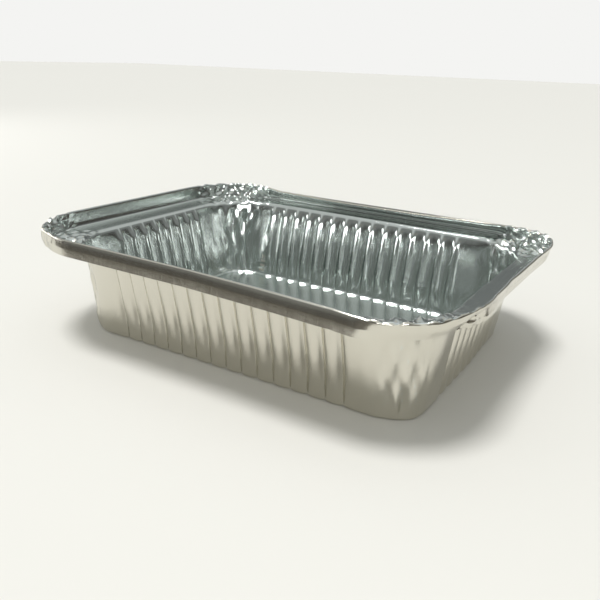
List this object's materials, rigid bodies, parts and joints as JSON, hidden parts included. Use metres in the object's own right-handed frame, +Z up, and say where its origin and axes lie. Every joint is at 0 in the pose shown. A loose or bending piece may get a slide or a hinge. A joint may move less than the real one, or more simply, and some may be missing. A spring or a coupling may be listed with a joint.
{
  "type": "foil food tray",
  "caption": "Shallow rectangular pressed foil tray with fluted sloping walls, gathered corners, a flat lid ledge and an upright hemmed rim.",
  "frame": {"origin": "middle of the underside of the floor, on the table", "axes": "+X along the tray's length, +Y across it, +Z up out of the open top"},
  "size_m": [0.222, 0.174, 0.0523],
  "materials": {
    "foil": "bright rolled aluminium foil, mirror-like with fine rolling lines, crinkled at the corners"
  },
  "bodies": {
    "root": {"foil_tray": "foil"}
  },
  "joints": []
}
